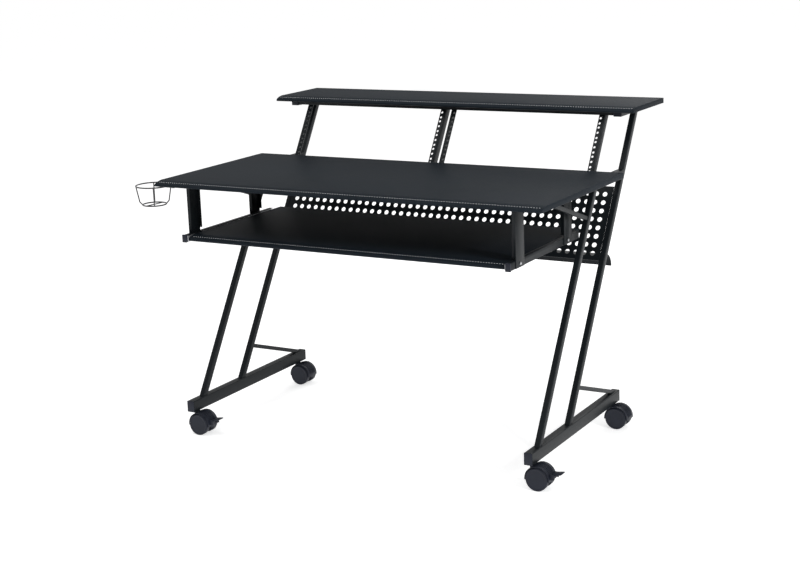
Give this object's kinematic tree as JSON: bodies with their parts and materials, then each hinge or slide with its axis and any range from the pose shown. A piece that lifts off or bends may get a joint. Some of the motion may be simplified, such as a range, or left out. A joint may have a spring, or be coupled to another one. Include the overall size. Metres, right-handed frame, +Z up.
{
  "type": "computer desk with keyboard tray",
  "caption": "Leaning steel-framed desk with raised shelf, rack rails, perforated back panel, sliding keyboard tray, wire cup holder and twin-wheel casters.",
  "frame": {"origin": "on the floor under the middle of the whole object's width, from the cup holder to the brake pedals' tips, and within 5 mm of the middle of its depth; the desktop's own middle is 32.15 mm to its right", "axes": "+X to the right as seen by the user, -Y towards the user, +Z up"},
  "size_m": [1.3116, 0.8638, 0.914],
  "materials": {
    "black_powder_coat": "fine satin texture",
    "laminate_board": "wood-based board wrapped in a charcoal film with a fine woven emboss, satin",
    "black_nylon": "moulded, satin",
    "zinc_steel": "zinc plated"
  },
  "bodies": {
    "frame": {"base_tube_left": "black_powder_coat", "base_tube_right": "black_powder_coat", "base_end_caps": "black_nylon", "front_leg_left": "black_powder_coat", "front_leg_right": "black_powder_coat", "rear_leg_left": "black_powder_coat", "rear_leg_right": "black_powder_coat", "base_brace_left": "black_powder_coat", "base_brace_right": "black_powder_coat", "desk_arm_left": "black_powder_coat", "desk_arm_right": "black_powder_coat", "desk_arm_caps": "black_nylon", "desk_brace_left": "black_powder_coat", "desk_brace_right": "black_powder_coat", "shelf_arm_left": "black_powder_coat", "shelf_arm_right": "black_powder_coat", "shelf_arm_caps": "black_nylon", "shelf_angle": "black_powder_coat", "perforated_panel": "black_powder_coat", "cable_lip": "black_powder_coat", "rack_rail_left": "black_powder_coat", "rack_rail_mid_left": "black_powder_coat", "rack_rail_mid_right": "black_powder_coat", "rack_rail_right": "black_powder_coat", "rack_cross_bar": "black_powder_coat", "desktop": "laminate_board", "shelf": "laminate_board", "hanger_front_left": "black_powder_coat", "hanger_front_right": "black_powder_coat", "hanger_rear_left": "black_powder_coat", "hanger_rear_right": "black_powder_coat", "tray_rail_left": "black_powder_coat", "tray_rail_right": "black_powder_coat", "hanger_screws": "zinc_steel", "board_screws": "zinc_steel", "cup_holder": "black_powder_coat", "caster_stems": "zinc_steel"},
    "tray": {"tray_board": "laminate_board", "tray_runner_left": "zinc_steel", "tray_runner_right": "zinc_steel", "tray_front_caps": "black_nylon"},
    "caster_front_left": {"caster_body_front_left": "black_nylon", "axle_front_left": "zinc_steel"},
    "wheel_front_left_a_spin": {"wheel_front_left_a": "black_nylon"},
    "wheel_front_left_b_spin": {"wheel_front_left_b": "black_nylon"},
    "brake_lever_left_pedal": {"brake_lever_left": "black_nylon"},
    "caster_front_right": {"caster_body_front_right": "black_nylon", "axle_front_right": "zinc_steel"},
    "wheel_front_right_a_spin": {"wheel_front_right_a": "black_nylon"},
    "wheel_front_right_b_spin": {"wheel_front_right_b": "black_nylon"},
    "brake_lever_right_pedal": {"brake_lever_right": "black_nylon"},
    "caster_rear_left": {"caster_body_rear_left": "black_nylon", "axle_rear_left": "zinc_steel"},
    "wheel_rear_left_a_spin": {"wheel_rear_left_a": "black_nylon"},
    "wheel_rear_left_b_spin": {"wheel_rear_left_b": "black_nylon"},
    "caster_rear_right": {"caster_body_rear_right": "black_nylon", "axle_rear_right": "zinc_steel"},
    "wheel_rear_right_a_spin": {"wheel_rear_right_a": "black_nylon"},
    "wheel_rear_right_b_spin": {"wheel_rear_right_b": "black_nylon"}
  },
  "joints": [
    {"name": "tray_slide", "type": "slide", "parent": "frame", "child": "tray", "axis": [0, -1, 0], "range_m": [0, 0.28]},
    {"name": "caster_front_left_swivel", "type": "hinge", "parent": "frame", "child": "caster_front_left", "pos_m": [-0.50685, -0.375, 0.05], "axis": [0, 0, 1], "continuous": true},
    {"name": "wheel_front_left_a_roll", "type": "hinge", "parent": "caster_front_left", "child": "wheel_front_left_a_spin", "pos_m": [-0.48685, -0.375, 0.031], "axis": [0, 1, 0], "continuous": true},
    {"name": "wheel_front_left_b_roll", "type": "hinge", "parent": "caster_front_left", "child": "wheel_front_left_b_spin", "pos_m": [-0.48685, -0.375, 0.031], "axis": [0, 1, 0], "continuous": true},
    {"name": "brake_lever_left_press", "type": "hinge", "parent": "caster_front_left", "child": "brake_lever_left_pedal", "pos_m": [-0.44755, -0.375, 0.043], "axis": [0, 1, 0], "range_deg": [0, 18]},
    {"name": "caster_front_right_swivel", "type": "hinge", "parent": "frame", "child": "caster_front_right", "pos_m": [0.57115, -0.375, 0.05], "axis": [0, 0, 1], "continuous": true},
    {"name": "wheel_front_right_a_roll", "type": "hinge", "parent": "caster_front_right", "child": "wheel_front_right_a_spin", "pos_m": [0.59115, -0.375, 0.031], "axis": [0, 1, 0], "continuous": true},
    {"name": "wheel_front_right_b_roll", "type": "hinge", "parent": "caster_front_right", "child": "wheel_front_right_b_spin", "pos_m": [0.59115, -0.375, 0.031], "axis": [0, 1, 0], "continuous": true},
    {"name": "brake_lever_right_press", "type": "hinge", "parent": "caster_front_right", "child": "brake_lever_right_pedal", "pos_m": [0.63045, -0.375, 0.043], "axis": [0, 1, 0], "range_deg": [0, 18]},
    {"name": "caster_rear_left_swivel", "type": "hinge", "parent": "frame", "child": "caster_rear_left", "pos_m": [-0.50685, 0.155, 0.05], "axis": [0, 0, 1], "continuous": true},
    {"name": "wheel_rear_left_a_roll", "type": "hinge", "parent": "caster_rear_left", "child": "wheel_rear_left_a_spin", "pos_m": [-0.48685, 0.155, 0.031], "axis": [0, 1, 0], "continuous": true},
    {"name": "wheel_rear_left_b_roll", "type": "hinge", "parent": "caster_rear_left", "child": "wheel_rear_left_b_spin", "pos_m": [-0.48685, 0.155, 0.031], "axis": [0, 1, 0], "continuous": true},
    {"name": "caster_rear_right_swivel", "type": "hinge", "parent": "frame", "child": "caster_rear_right", "pos_m": [0.57115, 0.155, 0.05], "axis": [0, 0, 1], "continuous": true},
    {"name": "wheel_rear_right_a_roll", "type": "hinge", "parent": "caster_rear_right", "child": "wheel_rear_right_a_spin", "pos_m": [0.59115, 0.155, 0.031], "axis": [0, 1, 0], "continuous": true},
    {"name": "wheel_rear_right_b_roll", "type": "hinge", "parent": "caster_rear_right", "child": "wheel_rear_right_b_spin", "pos_m": [0.59115, 0.155, 0.031], "axis": [0, 1, 0], "continuous": true}
  ]
}
